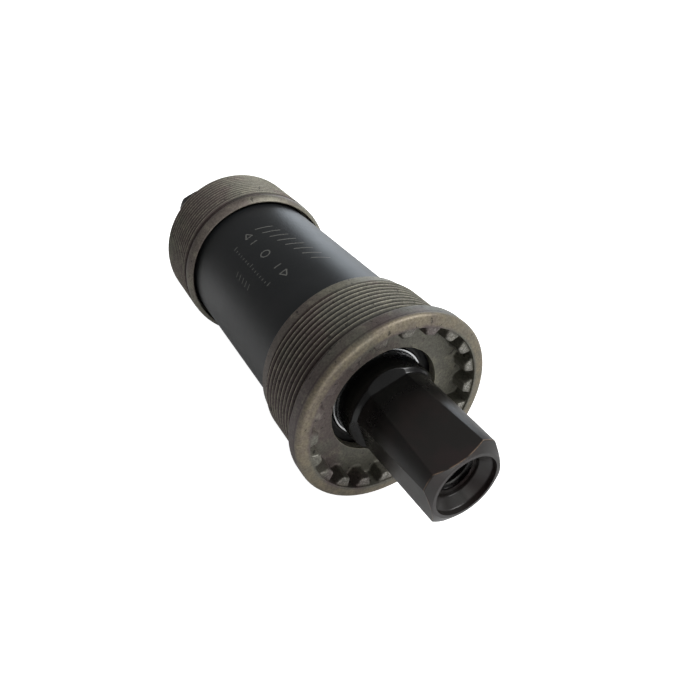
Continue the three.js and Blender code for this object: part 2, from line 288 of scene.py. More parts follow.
class Skin:
    """A closed surface of one piece, built from rings of points round the X axis."""

    def __init__(self):
        self.bm = bmesh.new()

    def band(self, rings, per_turn=0):
        """Joins each ring to the next. On a helix, a ring's end meets the start of another."""
        made = [[self.bm.verts.new(point) for point in points] for points in rings]
        last = len(made) - 1
        columns = len(made[0])
        for i in range(last):
            for c in range(columns):
                beside = [made[i], made[i + 1]]
                if c + 1 == columns:
                    beside = [made[min(max(i + k + per_turn, 0), last)] for k in (0, 1)]
                following = (c + 1) % columns
                corners = [made[i][c], beside[0][following], beside[1][following], made[i + 1][c]]
                corners = list(dict.fromkeys(corners))
                if len(corners) > 2:
                    self.bm.faces.new(corners)

    def lathe(self, profile, angles, side=1):
        """Turns a closed profile of (along, radius) points round the X axis."""
        rings = [ring(angles, side * along, radius) for along, radius in profile]
        self.band([*rings, rings[0]])

    def finish(self, name, merge=0.0004 * MM):
        """Welds the rings together and returns the piece's object."""
        bmesh.ops.remove_doubles(self.bm, verts=self.bm.verts, dist=merge)
        bmesh.ops.dissolve_degenerate(self.bm, edges=self.bm.edges, dist=merge)
        bmesh.ops.recalc_face_normals(self.bm, faces=self.bm.faces)
        mesh = bpy.data.meshes.new(name)
        self.bm.to_mesh(mesh)
        self.bm.free()
        return show(name, mesh)


def show(name, mesh):
    """Links a mesh as an object, shaded smooth between its sharp edges."""
    mesh.shade_smooth()
    mesh.set_sharp_from_angle(angle=math.radians(38))
    piece = bpy.data.objects.new(name, mesh)
    bpy.context.scene.collection.objects.link(piece)
    weighted = piece.modifiers.new("Even shading", "WEIGHTED_NORMAL")
    weighted.keep_sharp = True
    return piece


def place(piece, body, slot, material, *nodes):
    """Gives a piece its finish and its body, and hides the CAD nodes that it stands for."""
    piece.data.materials.append(material)
    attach(piece, body)
    if nodes:
        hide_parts(*nodes)
    return piece


# --- Materials ------------------------------------------------------------------------------

class Wire:
    """A shader socket that arithmetic works on. Each step adds a Math node."""

    def __init__(self, nodes, socket):
        self.nodes = nodes
        self.socket = socket

    def maths(self, operation, *values):
        settings = {"operation": operation}
        return self.nodes.node("ShaderNodeMath", settings, dict(enumerate(values)))

    def __add__(self, other):
        return self.maths("ADD", self, other)

    __radd__ = __add__

    def __sub__(self, other):
        return self.maths("SUBTRACT", self, other)

    def __rsub__(self, other):
        return self.maths("SUBTRACT", other, self)

    def __mul__(self, other):
        return self.maths("MULTIPLY", self, other)

    __rmul__ = __mul__

    def __truediv__(self, other):
        return self.maths("DIVIDE", self, other)

    def __pow__(self, other):
        return self.maths("POWER", self, other)

    def span(self, low, high):
        """0 at low and below, 1 at high and above, with a smooth rise between."""
        settings = {"interpolation_type": "SMOOTHSTEP"}
        inputs = {"Value": self, "From Min": low, "From Max": high}
        return self.nodes.node("ShaderNodeMapRange", settings, inputs)

    def near(self, place, reach):
        """1 at a place, falling to 0 a reach away on either side."""
        return 1 - self.maths("ABSOLUTE", self - place).span(0, reach)


class Nodes:
    """The nodes of one material or of the world."""

    def __init__(self, owner):
        owner.use_nodes = True
        self.tree = owner.node_tree

    def node(self, kind, settings, inputs, output=0):
        """Adds a node, sets it, feeds it, and returns one of its outputs (or the node)."""
        node = self.tree.nodes.new(kind)
        for name, value in settings.items():
            if name == "stops":
                ramp = node.color_ramp.elements
                for stop, (position, tone) in zip(ramp, value):
                    stop.position = position
                    stop.color = (tone, tone, tone, 1)
            else:
                setattr(node, name, value)
        for name, value in inputs.items():
            self.feed(node.inputs[name], value)
        return node if output is None else Wire(self, node.outputs[output])

    def feed(self, socket, value):
        if isinstance(value, Wire):
            self.tree.links.new(value.socket, socket)
        elif socket.type == "RGBA" and len(value) == 3:
            socket.default_value = (*value, 1)
        else:
            socket.default_value = value

    def seen_by_camera(self):
        """1 where the camera sees a surface itself, and 0 where light bounces off it."""
        return self.node("ShaderNodeLightPath", {}, {}, "Is Camera Ray")


class Finish(Nodes):
    """A material under construction, with its surface's own coordinates."""

    def __init__(self, name, metallic, specular=0.5):
        self.material = bpy.data.materials.new(name)
        super().__init__(self.material)
        self.shader = self.tree.nodes["Principled BSDF"]
        self.shader.inputs["Metallic"].default_value = metallic
        self.shader.inputs["Specular IOR Level"].default_value = specular
        self.place = self.node("ShaderNodeTexCoord", {}, {}, "Object")
        self.x, self.y, self.z = self.split(self.place)
        self.radius = (self.y * self.y + self.z * self.z) ** 0.5
        self.facing = self.split(self.node("ShaderNodeNewGeometry", {}, {}, "Normal"))[0]

    def split(self, vector):
        """A vector's three numbers."""
        parts = self.node("ShaderNodeSeparateXYZ", {}, {"Vector": vector}, None)
        return [Wire(self, parts.outputs[axis]) for axis in "XYZ"]

    def noise(self, scale, detail=3, roughness=0.55, vector=None, distortion=0.0):
        inputs = {
            "Vector": self.place if vector is None else vector,
            "Scale": scale,
            "Detail": detail,
            "Roughness": roughness,
            "Distortion": distortion,
        }
        return self.node("ShaderNodeTexNoise", {}, inputs, "Fac")

    def towards(self, degrees):
        """1 on the side of the axis at an angle from +Y towards +Z, and -1 on the far side."""
        across = math.cos(math.radians(degrees))
        upwards = math.sin(math.radians(degrees))
        return (self.y * across + self.z * upwards) / self.radius

    def turned_lines(self, spacing):
        """Fine rings round the axis, as a lathe tool leaves, that drift a little round a turn."""
        drift = self.noise(90, 2) * spacing
        lines = {"X": (self.x + drift) / spacing, "Y": self.radius / spacing, "Z": 0.0}
        rings = self.node("ShaderNodeCombineXYZ", {}, lines)
        return self.noise(1.0, 2, 0.6, rings)

    def mix(self, share_of_second, first, second, blend="MIX"):
        """Mixes two colours."""
        settings = {"data_type": "RGBA", "blend_type": blend}
        inputs = {0: share_of_second, 6: first, 7: second}
        return self.node("ShaderNodeMix", settings, inputs, 2)

    def bump(self, height, strength, distance, onto=None):
        inputs = {"Height": height, "Strength": strength, "Distance": distance}
        if onto is not None:
            inputs["Normal"] = onto
        return self.node("ShaderNodeBump", {}, inputs)

    def surface(self, colour, roughness, normal=None, **constants):
        self.feed(self.shader.inputs["Base Color"], colour)
        self.feed(self.shader.inputs["Roughness"], roughness)
        if normal is not None:
            self.feed(self.shader.inputs["Normal"], normal)
        for name, value in constants.items():
            self.feed(self.shader.inputs[name.replace("_", " ")], value)
        return self.material


TEETH_INNER = (14.2 * MM, 14.4 * MM)
TEETH_OUTER = (15.9 * MM, 16.2 * MM)


def phosphate_steel(name, sizes, colours, node):
    """Steel with an olive-grey phosphate coat: maroon patches leaning to one side as painted shade,
    grooves darkened by grime and painted shade, worn edges, painted light in the floor's hole and a
    painted highlight on one side's teeth.
    """
    start, end, outer = extent(node)
    crest_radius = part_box("left_cup")[1].z
    root_radius = crest_radius - sizes.depth
    flanged = outer > crest_radius + 0.5 * MM
    finish = Finish(name, metallic=0.45)
    along = finish.x * (1 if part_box(node)[0].x > 0 else -1)
    radius = finish.radius
    cloud = finish.noise(85, 3, 0.55)
    blotch = finish.noise(430, 4, 0.65)
    grain = finish.noise(2700, 3, 0.7)
    pits = finish.noise(900, 2, 0.5).span(0.66, 0.72)
    lines = finish.turned_lines(0.12 * MM)

    thread_start = start + sizes.land
    thread_end = abs(MOUNTS["drive_flange_seat"].x) - sizes.relief if flanged else end
    threaded = along.span(thread_start - 0.2 * MM, thread_start + 0.1 * MM)
    threaded = threaded * (1 - along.span(thread_end - 0.1 * MM, thread_end + 0.2 * MM))
    threaded = threaded * radius.span(root_radius - 0.1 * MM, root_radius)
    groove = (1 - radius.span(root_radius + 0.05 * MM, crest_radius - 0.04 * MM)) * threaded
    crest = radius.span(crest_radius - 0.05 * MM, crest_radius) * threaded
    lip = along.span(end - 1.2 * MM, end - 0.6 * MM)
    lip = lip * radius.span(outer - 2.2 * MM, outer - 1.6 * MM)
    teeth = along.span(end - 0.8 * MM, end - 0.5 * MM)
    teeth = teeth * radius.span(*TEETH_INNER) * (1 - radius.span(*TEETH_OUTER))
    # Maroon patches are the coat's own tint; leaning them towards one side of the axis paints shade
    # on the side away from the key light.
    maroon = (cloud + finish.towards(165) * 0.14).span(0.46, 0.62)

    colour = finish.mix(maroon * 0.9, colours.phosphate, colours.phosphate_maroon)
    colour = finish.mix(blotch.span(0.50, 0.75) * 0.35, colour, colours.phosphate_worn_and_painted_light)
    groove_grime_and_shade = finish.mix(maroon, colours.phosphate_dark_and_shade, colours.maroon_dark_and_shade)
    land = (1 - along.span(thread_start - 0.3 * MM, thread_start)) * radius.span(16 * MM, 16.3 * MM)
    colour = finish.mix(land * (1 - maroon * 0.6) * 0.35, colour, colours.phosphate_worn_and_painted_light)
    # Painted light: the wall of the floor's hole is lightened towards the worn coat's colour, in
    # place of light that does not reach into the hole.
    painted_hole_light = 1 - radius.span(sizes.hole + 0.02 * MM, sizes.hole + 0.15 * MM)
    colour = finish.mix(painted_hole_light * 0.8, colour, colours.phosphate_worn_and_painted_light)
    # The threads' grooves go almost black: grime, and painted shade.
    colour = finish.mix(groove * 0.95, colour, groove_grime_and_shade)
    rubbed = crest * (0.65 + blotch.span(0.35, 0.65) * 0.35)
    colour = finish.mix(rubbed, colour, colours.phosphate_worn_and_painted_light)
    if flanged:
        rubbed = lip * (0.45 + blotch.span(0.35, 0.65) * 0.5)
        colour = finish.mix(rubbed, colour, colours.phosphate_gold)
        seam = radius.near(outer - 0.04 * MM, 0.12 * MM) * along.near(end - 1.25 * MM, 0.3 * MM)
        colour = finish.mix(seam * 0.6, colour, colours.maroon_dark_and_shade)
    # Teeth fronts worn to steel, with a painted highlight: the teeth on one side of the cup are made
    # far brighter than the rest.
    worn_teeth_and_highlight = teeth * (0.12 + grain.span(0.48, 0.60) * 0.60) * (finish.towards(-35) * 0.5 + 0.55)
    colour = finish.mix(worn_teeth_and_highlight, colour, colours.teeth_steel_and_highlight)
    colour = finish.mix(pits * 0.7, colour, colours.phosphate_dark_and_shade)
    speckle = finish.node(
        "ShaderNodeValToRGB", {"stops": ((0.34, 0.45), (0.66, 1.0))}, {"Fac": grain}
    )
    colour = finish.mix(0.75, colour, speckle, "MULTIPLY")
    roughness = 0.44 + blotch * 0.16 + groove * 0.15 - teeth * 0.12 - lip * 0.06
    normal = finish.bump(grain, 0.30, 0.05 * MM)
    normal = finish.bump(1 - pits, 0.35, 0.06 * MM, normal)
    normal = finish.bump(lines, 0.12, 0.02 * MM, normal)
    return finish.surface(colour, roughness, normal)


def black_shell(colours):
    """Satin black coat on a drawn tube, with fine scuffs and a faint orange-peel."""
    finish = Finish("Black shell", metallic=0.0, specular=0.4)
    fog = finish.noise(120, 4, 0.6)
    peel = finish.noise(1500, 2, 0.5)
    lines = finish.turned_lines(0.25 * MM)
    colour = finish.mix(fog.span(0.35, 0.75) * 0.5, colours.shell_black, (0.020, 0.021, 0.022))
    roughness = 0.34 + fog * 0.10 + lines * 0.05
    normal = finish.bump(peel, 0.05, 0.02 * MM)
    normal = finish.bump(lines, 0.05, 0.01 * MM, normal)
    return finish.surface(colour, roughness, normal)


def black_spindle(sizes, colours):
    """Black oxide on ground steel, browner towards the ends and worn where the flats stop."""
    low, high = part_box("spindle")
    end = (high.x - low.x) / 2
    finish = Finish("Black spindle", metallic=0.0, specular=0.45)
    outwards = finish.x.maths("ABSOLUTE", finish.x - (high.x + low.x) / 2)
    fog = finish.noise(150, 4, 0.6)
    patches = finish.noise(600, 3, 0.6)
    grain = finish.noise(2200, 3, 0.6)
    lines = finish.turned_lines(0.10 * MM)
    sideways = finish.x.maths("ABSOLUTE", finish.facing)
    chamfer_slope = (sizes.corner - sizes.mouth - sizes.end_face) / sizes.end_chamfer
    chamfer_reach = (end - outwards) * chamfer_slope + sizes.mouth + sizes.end_face
    rim = 1 - (chamfer_reach - finish.radius).span(0.05 * MM, 0.45 * MM)
    rim = rim * (1 - sideways.span(0.3, 0.6)) * finish.radius.span(5.9 * MM, 6.1 * MM)
    aged = outwards.span(end - sizes.taper, end - 0.25 * sizes.taper)
    colour = finish.mix(aged, colours.spindle_black, colours.spindle_aged)
    maroon = fog.span(0.45, 0.65) * aged
    colour = finish.mix(maroon * 0.5, colour, colours.spindle_maroon)
    colour = finish.mix(rim * patches.span(0.30, 0.60) * 0.8, colour, colours.spindle_worn)
    roughness = 0.18 + aged * 0.10 + fog * 0.12 + grain * 0.05
    normal = finish.bump(grain, 0.03, 0.02 * MM)
    normal = finish.bump(patches, 0.04, 0.03 * MM, normal)
    normal = finish.bump(lines, 0.08, 0.01 * MM, normal)
    return finish.surface(colour, roughness, normal)


def bearing_steel(colours):
    """Ground bearing steel with fine grinding lines."""
    finish = Finish("Bearing steel", metallic=1.0)
    lines = finish.turned_lines(0.05 * MM)
    fog = finish.noise(300, 3)
    colour = finish.mix(fog.span(0.4, 0.8) * 0.3, colours.steel, (0.45, 0.44, 0.42))
    normal = finish.bump(lines, 0.08, 0.008 * MM)
    return finish.surface(colour, 0.14 + fog * 0.12, normal)


def seal_rubber(colours):
    """Matt black nitrile rubber with a fine moulded grain."""
    finish = Finish("Seal rubber", metallic=0.0, specular=0.35)
    grain = finish.noise(3000, 3, 0.6)
    fog = finish.noise(300, 3)
    colour = finish.mix(fog.span(0.4, 0.8) * 0.5, colours.rubber, (0.03, 0.03, 0.028))
    return finish.surface(colour, 0.55 + fog * 0.15, finish.bump(grain, 0.2, 0.02 * MM))


def cage_nylon(colours):
    """Tan nylon with a slight mottle and a soft moulded grain."""
    finish = Finish("Cage nylon", metallic=0.0)
    fog = finish.noise(400, 4)
    grain = finish.noise(2500, 2)
    colour = finish.mix(fog.span(0.35, 0.75) * 0.4, colours.nylon, (0.33, 0.27, 0.18))
    return finish.surface(colour, 0.42 + fog * 0.15, finish.bump(grain, 0.12, 0.02 * MM))


def mark_print(colours):
    """Pale, thin print with small gaps where it is rubbed."""
    finish = Finish("Mark print", metallic=0.0, specular=0.3)
    rub = finish.noise(1800, 3, 0.6)
    colour = finish.mix(rub.span(0.45, 0.75) * 0.6, colours.marks, (0.12, 0.12, 0.12))
    return finish.surface(colour, 0.5 + rub * 0.2)


# --- Cups -----------------------------------------------------------------------------------

THREAD_FORM = (
    (0.0, 0.0), (0.06, 0.0), (0.13, 0.06), (0.27, 0.42), (0.41, 0.91),
    (0.46, 1.0), (0.54, 1.0), (0.59, 0.91), (0.73, 0.42), (0.87, 0.06), (0.94, 0.0),
)


def spline_columns(splines, phase):
    """Angles round a cup and the recess's radius at each, close together at the teeth's edges."""
    ease = 0.2
    pitch = FULL_TURN / splines.count
    half_tip = splines.tip_angle / 2
    flank = splines.base_angle / 2 - half_tip
    offsets = [0.0, half_tip / 2]
    offsets += [half_tip + flank * t for t in (-ease, 0, ease, 0.5, 1 - ease, 1, 1 + ease)]
    offsets.append((offsets[-1] + pitch / 2) / 2)
    offsets = [-offset for offset in reversed(offsets[1:])] + offsets + [pitch / 2]
    angles = []
    radii = []
    for tooth in range(splines.count):
        for offset in offsets:
            angles.append(phase + tooth * pitch + offset)
            fall = eased((abs(offset) - half_tip) / flank, ease)
            radii.append(splines.tip + (splines.root - splines.tip) * fall)
    return angles, radii


RECESS_ROUNDING = ((0.0, 0.48), (0.05, 0.27), (0.15, 0.11), (0.28, 0.03), (0.42, 0.0))


def recess_rings(splines, angles, walls, end, side):
    """Rings from the teeth's end faces down to the cup's floor."""
    face = end - splines.setback
    floor = end - splines.depth
    rings = []
    for drop, inset in RECESS_ROUNDING:
        radii = [min(splines.root, wall + inset * MM) for wall in walls]
        rings.append(ring(angles, side * (face - drop * MM), radii))
    for rise, inset in reversed(RECESS_ROUNDING):
        radii = [wall - inset * MM for wall in walls]
        rings.append(ring(angles, side * (floor + rise * MM), radii))
    rings.append(ring(angles, side * floor, splines.tip - 0.7 * MM))
    return rings


def cup_skin(settings, side, phase, end, thread, leads, outside, inside, radius):
    """A cup: its outside from the thread to the end, its recess, its inside, and its thread."""
    cup = settings.cup
    angles, walls = spline_columns(settings.spline, phase)
    skin = Skin()
    rings = [ring(angles, side * along, reach) for along, reach in outside]
    rings += recess_rings(settings.spline, angles, walls, end, side)
    rings += [ring(angles, side * along, reach) for along, reach in inside]
    skin.band(rings)
    rows, per_turn = helix(
        angles, *thread, cup.pitch, -1, radius - cup.depth, cup.depth, THREAD_FORM, leads
    )
    rows = [ring(angles, [side * along for along in places], radii) for places, radii in rows]
    skin.band(rows, per_turn)
    return skin


def build_drive_cup(settings):
    cup, splines = settings.cup, settings.spline
    mouth, end, flange = extent("drive_cup")
    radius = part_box("left_cup")[1].z
    root = radius - cup.depth
    seat = abs(MOUNTS["drive_flange_seat"].x)
    back = end - splines.depth - cup.floor
    thread = (mouth + cup.land, seat - cup.relief)
    outside = soften([
        (thread[1], root, 0),
        (seat - 0.1 * MM, root, 0.25 * MM),
        (seat, flange, 0.35 * MM),
        (end, flange, cup.edge_round),
        (end, splines.root, 0.15 * MM),
        (end - splines.setback, splines.root, 0),
    ], steps=8)
    inside = soften([
        (end - splines.depth, cup.hole + 0.3 * MM, 0),
        (end - splines.depth, cup.hole, 0.12 * MM),
        (back, cup.hole, 0.2 * MM),
        (back, cup.bore, 0.2 * MM),
        (mouth, cup.bore, 0.2 * MM),
        (mouth, root, 0.2 * MM),
        (thread[0], root, 0),
    ])
    leads = (cup.thread_lead, cup.thread_lead)
    skin = cup_skin(settings, 1, splines.drive_phase, end, thread, leads, outside, inside, radius)
    return skin.finish("drive_cup_detailed")


def build_left_cup(settings):
    cup, splines = settings.cup, settings.spline
    mouth, end, radius = extent("left_cup")
    root = radius - cup.depth
    back = end - splines.depth - cup.floor
    thread = (mouth + cup.land + cup.depth, end)
    outside = soften([
        (end, root, 0),
        (end, splines.root, 0.08 * MM),
        (end - splines.setback, splines.root, 0),
    ])
    inside = soften([
        (end - splines.depth, cup.hole + 0.3 * MM, 0),
        (end - splines.depth, cup.hole, 0.12 * MM),
        (back, cup.hole, 0.2 * MM),
        (back, cup.left_bore, 0.2 * MM),
        (mouth + cup.left_mouth_depth, cup.left_bore, 0.1 * MM),
        (mouth + cup.left_mouth_depth, cup.left_mouth, 0.1 * MM),
        (mouth, cup.left_mouth, 0.12 * MM),
        (mouth, radius - cup.left_lead, 0.25 * MM),
        (mouth + cup.left_lead, radius - 0.2 * MM, 0.8 * MM),
        (mouth + cup.land, radius, 0.5 * MM),
        (thread[0], root, 0),
    ])
    leads = (cup.thread_lead, cup.end_chamfer)
    skin = cup_skin(settings, -1, splines.left_phase, end, thread, leads, outside, inside, radius)
    return skin.finish("left_cup_detailed")


# --- Spindle --------------------------------------------------------------------------------

BOLT_FORM = (
    (0.0, 0.0), (0.12, 0.0), (0.28, 0.42), (0.45, 0.95), (0.50, 1.0), (0.55, 0.95), (0.72, 0.42),
    (0.88, 0.0),
)


def taper_columns(sizes, crossing):
    """Angles round the spindle, close together where the flats meet the round corners."""
    fine, finer = math.radians(0.9), math.radians(0.35)
    eighth = math.pi / 4
    half = [crossing * t for t in (0.0, 0.3, 0.6, 0.85)]
    half += [crossing - min(fine, 0.10 * crossing), crossing - min(finer, 0.04 * crossing)]
    half += [crossing, crossing + finer, crossing + fine]
    half += [half[-1] + (eighth - half[-1]) * step / 9 for step in range(1, 10)]
    offsets = [-offset for offset in reversed(half[1:-1])] + half
    return [
        sizes.turned + quarter * math.pi / 2 + offset for quarter in range(4) for offset in offsets
    ]


def taper_ring(sizes, x, round_radius, half_width):
    """A ring of the spindle: a circle with four flats cut at half_width from the axis."""
    softness = 0.02 * MM
    crossing = math.acos(min(1, half_width / round_radius))
    angles = taper_columns(sizes, crossing)
    radii = []
    for a in angles:
        offset = (a - sizes.turned + math.pi / 4) % (math.pi / 2) - math.pi / 4
        straight = half_width / math.cos(offset)
        least = min(straight, round_radius)
        spread = sum(math.exp((least - reach) / softness) for reach in (straight, round_radius))
        radii.append(least - softness * math.log(spread))
    return ring(angles, x, radii)


def taper_rings(sizes, shoulder, end, side):
    """Rings from the spindle's body out to its end face."""
    start = end - sizes.taper
    cone = sizes.journal - sizes.corner
    body = sizes.journal + sizes.shoulder
    slope = math.tan(sizes.taper_angle)
    first_width = sizes.flat + sizes.taper * slope
    reach = sizes.mouth + sizes.end_face
    outline = soften([
        (shoulder - 2 * MM, body, 0),
        (shoulder, body, 0.35 * MM),
        (shoulder, sizes.journal, 0.15 * MM),
        (start - cone, sizes.journal, 0.25 * MM),
        (start, sizes.corner, 0.25 * MM),
        (end - sizes.end_chamfer, sizes.corner, 0.18 * MM),
        (end, reach, 0.12 * MM),
        (end, sizes.mouth, 0),
    ], steps=5)
    runout = first_width + cone - sizes.journal
    places = [along for along, _ in outline]
    places += [start - cone + runout - cone + cone * step / 5 for step in range(6)]
    places += [start + (t - 0.15) * 0.5 * MM for t in (0.0, 0.15, 0.3, 0.6)]
    places += [start - (sizes.journal - first_width) * step / 8 for step in range(9)]
    places += [start + (end - sizes.end_chamfer - start) * step / 7 for step in range(1, 7)]
    places += [end - sizes.end_chamfer * step / 10 for step in range(1, 10)]
    rings = []
    for along in sorted(set(round(place, 8) for place in places)):
        width = sizes.flat + (end - along) * slope + max(0.0, start - along)
        for radius in heights(outline, along):
            rings.append(taper_ring(sizes, side * along, radius, width))
    return rings


def heights(outline, along):
    """The outline's radii at a place along the axis: two where it steps, else one."""
    steps = [radius for place, radius in outline if abs(place - along) < 1e-8]
    if steps:
        return steps
    for (near, first), (far, second) in zip(outline, outline[1:]):
        if near < along < far:
            return [first + (second - first) * (along - near) / (far - near)]
    return []


def build_spindle(settings):
    sizes = settings.spindle
    low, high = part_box("spindle")
    ends = {"drive": high.x, "left": -low.x}
    angles = taper_columns(sizes, 0.0)
    skin = Skin()
    bands = {}
    for label, side in SIDES.items():
        end = ends[label]
        thread_start = end - sizes.seat_depth - sizes.hole_relief
        thread_end = end - sizes.hole_depth + 2 * sizes.bolt_pitch
        tip = end - sizes.hole_depth - sizes.minor / math.tan(math.radians(59))
        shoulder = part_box(f"{label}_outer_race")
        shoulder = min(abs(shoulder[0].x), abs(shoulder[1].x)) - 0.1 * MM
        bands[label] = taper_rings(sizes, shoulder, end, side)
        mouth = soften([
            (end, sizes.mouth, 0),
            (end - sizes.mouth_depth, sizes.mouth, 0.15 * MM),
            (end - sizes.seat_depth, sizes.seat, 0.12 * MM),
            (thread_start, sizes.seat, 0),
            (thread_start, sizes.minor, 0),
        ])
        skin.band([ring(angles, side * along, radius) for along, radius in mouth])
        rows, per_turn = helix(
            angles, thread_end, thread_start, sizes.bolt_pitch, side, sizes.minor,
            sizes.major - sizes.minor, BOLT_FORM, (sizes.bolt_pitch * 0.5,) * 2,
        )
        rows = [ring(angles, [side * along for along in places], radii) for places, radii in rows]
        skin.band(rows, per_turn)
        drilled = [(thread_end, sizes.minor), (end - sizes.hole_depth, sizes.minor), (tip, 0.0)]
        skin.band([ring(angles, side * along, radius) for along, radius in drilled])
    skin.band([*reversed(bands["left"]), *bands["drive"]])
    return skin.finish("spindle_detailed")


# --- Shell and its marks --------------------------------------------------------------------

def build_shell():
    low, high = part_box("cartridge_shell")
    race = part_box("drive_outer_race")
    left_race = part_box("left_outer_race")
    bearing_bore = race[1].z + 0.05 * MM
    inner_bore = race[1].z - 0.8 * MM
    skin = Skin()
    profile = soften([
        (low.x, bearing_bore, 0.1 * MM),
        (low.x, high.z, 0.3 * MM),
        (high.x, high.z, 0.3 * MM),
        (high.x, bearing_bore, 0.1 * MM),
        (race[0].x - 0.1 * MM, bearing_bore, 0.1 * MM),
        (race[0].x - 0.1 * MM, inner_bore, 0.1 * MM),
        (left_race[1].x + 0.1 * MM, inner_bore, 0.1 * MM),
        (left_race[1].x + 0.1 * MM, bearing_bore, 0.1 * MM),
    ], closed=True)
    skin.lathe(profile, even_angles(192))
    return skin.finish("cartridge_shell_detailed")


class Marks:
    """Thin raised strokes on the shell, placed by distance along it and round it."""

    def __init__(self, radius, middle):
        self.bm = bmesh.new()
        self.radius = radius
        self.middle = middle

    def point(self, along, around, proud):
        reach = self.radius + proud
        return ring([self.middle + around / self.radius], along, reach)[0]

    def stroke(self, start, end, width=0.28 * MM):
        start, end = Vector(start), Vector(end)
        steps = max(1, round((end - start).length / (0.4 * MM)))
        across = (end - start).orthogonal().normalized() * width / 2
        sections = []
        for step in range(steps + 1):
            centre = start.lerp(end, step / steps)
            edges = (centre - across, centre + across)
            corners = [(edge, proud) for proud in (-0.02 * MM, 0.012 * MM) for edge in edges]
            order = (corners[0], corners[1], corners[3], corners[2])
            sections.append([self.bm.verts.new(self.point(*edge, proud)) for edge, proud in order])
        for near, far in zip(sections, sections[1:]):
            for i in range(4):
                self.bm.faces.new((near[i - 1], near[i], far[i], far[i - 1]))
        self.bm.faces.new(sections[0])
        self.bm.faces.new(reversed(sections[-1]))

    def outline(self, points):
        for start, end in zip(points, [*points[1:], points[0]]):
            self.stroke(start, end)

    def arrow(self, tip, around, size, direction):
        """An open triangle that points along the shell."""
        base = tip - direction * size
        half = size * 0.5
        self.outline([(tip, around), (base, around - half), (base, around + half)])

    def finish(self, name):
        bmesh.ops.recalc_face_normals(self.bm, faces=self.bm.faces)
        mesh = bpy.data.meshes.new(name)
        self.bm.to_mesh(mesh)
        self.bm.free()
        return show(name, mesh)


MARK_RING_RADIUS = 0.95 * MM
MARK_ARROW = 1.6 * MM
MARK_TICK_WIDTH = 0.22 * MM
MARK_TICKS = 15
MARK_SHORT_TICKS = 5
MARK_SLANTS = 8


def build_marks():
    """Setting marks: two arrows with a ring between them, ticks, and a row of slanted strokes."""
    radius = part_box("cartridge_shell")[1].z
    turn = math.radians
    marks = Marks(radius, turn(90))
    arrows = radius * turn(23.3)
    for direction in (-1, 1):
        marks.arrow(direction * 9.6 * MM, arrows, MARK_ARROW, direction)
        bar = direction * 5.6 * MM
        marks.stroke((bar, arrows - 0.8 * MM), (bar, arrows + 0.8 * MM))
    circle = []
    for a in even_angles(20):
        across = arrows + MARK_RING_RADIUS * math.sin(a)
        circle.append((MARK_RING_RADIUS * math.cos(a), across))
    marks.outline(circle)
    for i in range(MARK_TICKS):
        along = (i - 7) * 1.15 * MM
        tall = 0.95 * MM if i % 7 == 0 else 0.5 * MM
        base = radius * turn(38)
        marks.stroke((along, base), (along, base - tall), MARK_TICK_WIDTH)
    for i in range(MARK_SHORT_TICKS):
        start = ((i - 1.5) * 1.4 * MM, radius * turn(46))
        finish = (start[0] + 0.5 * MM, radius * turn(50))
        marks.stroke(start, finish, MARK_TICK_WIDTH)
    for i in range(MARK_SLANTS):
        along = (i - 3.5) * 2.5 * MM
        base = radius * turn(2.5) - along * 0.22
        marks.stroke((along - 0.7 * MM, base + 1.7 * MM), (along + 0.7 * MM, base - 1.7 * MM))
    return marks.finish("shell_marks")


# --- Bearings -------------------------------------------------------------------------------

def ball_places(label):
    """The centres of one bearing's balls, and the balls' radius."""
    centres = []
    for name in sorted(frame["nodes"]):
        if name.startswith(f"{label}_ball_") and name[-1].isdigit():
            low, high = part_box(name)
            centres.append((name, (low + high) / 2, (high.y - low.y) / 2))
    return centres


def groove(sizes, middle, circle, outwards):
    half = math.acos(sizes.land_offset / sizes.pocket)
    return [
        (
            middle + sizes.pocket * math.sin(half * step / 6),
            circle + outwards * sizes.pocket * math.cos(half * step / 6),
            0,
        )
        for step in range(-6, 7)
    ]


def build_races(settings, label, side):
    sizes = settings.bearing
    _, centre, _ = ball_places(label)[0]
    circle = math.hypot(centre.y, centre.z)
    middle = abs(centre.x)
    back, face, outer = extent(f"{label}_outer_race")
    chamfer = 0.3 * MM
    inner_land = circle - sizes.land_offset
    outer_land = circle + sizes.land_offset
    angles = even_angles(144)
    inner = Skin()
    inner.lathe(soften([
        (back, sizes.bore, 0.2 * MM),
        (back, inner_land, 0.2 * MM),
        *groove(sizes, middle, circle, -1),
        (face - sizes.nose_length, inner_land, 0.1 * MM),
        (face - sizes.nose_length, sizes.nose, 0.1 * MM),
        (face + sizes.proud, sizes.nose, 0.1 * MM),
        (face + sizes.proud, sizes.bore, 0.12 * MM),
    ], closed=True), angles, side)
    outer_ring = Skin()
    outer_ring.lathe(soften([
        (back, outer, chamfer),
        (back, sizes.recess, 0.12 * MM),
        (back + sizes.recess_depth, sizes.recess, 0.08 * MM),
        (back + sizes.recess_depth, outer_land, 0.1 * MM),
        *groove(sizes, middle, circle, 1),
        (face - sizes.recess_depth, outer_land, 0.1 * MM),
        (face - sizes.recess_depth, sizes.recess, 0.08 * MM),
        (face, sizes.recess, 0.12 * MM),
        (face, outer, chamfer),
    ], closed=True), angles, side)
    return {
        "inner_race": inner.finish(f"{label}_inner_race_detailed"),
        "outer_race": outer_ring.finish(f"{label}_outer_race_detailed"),
    }


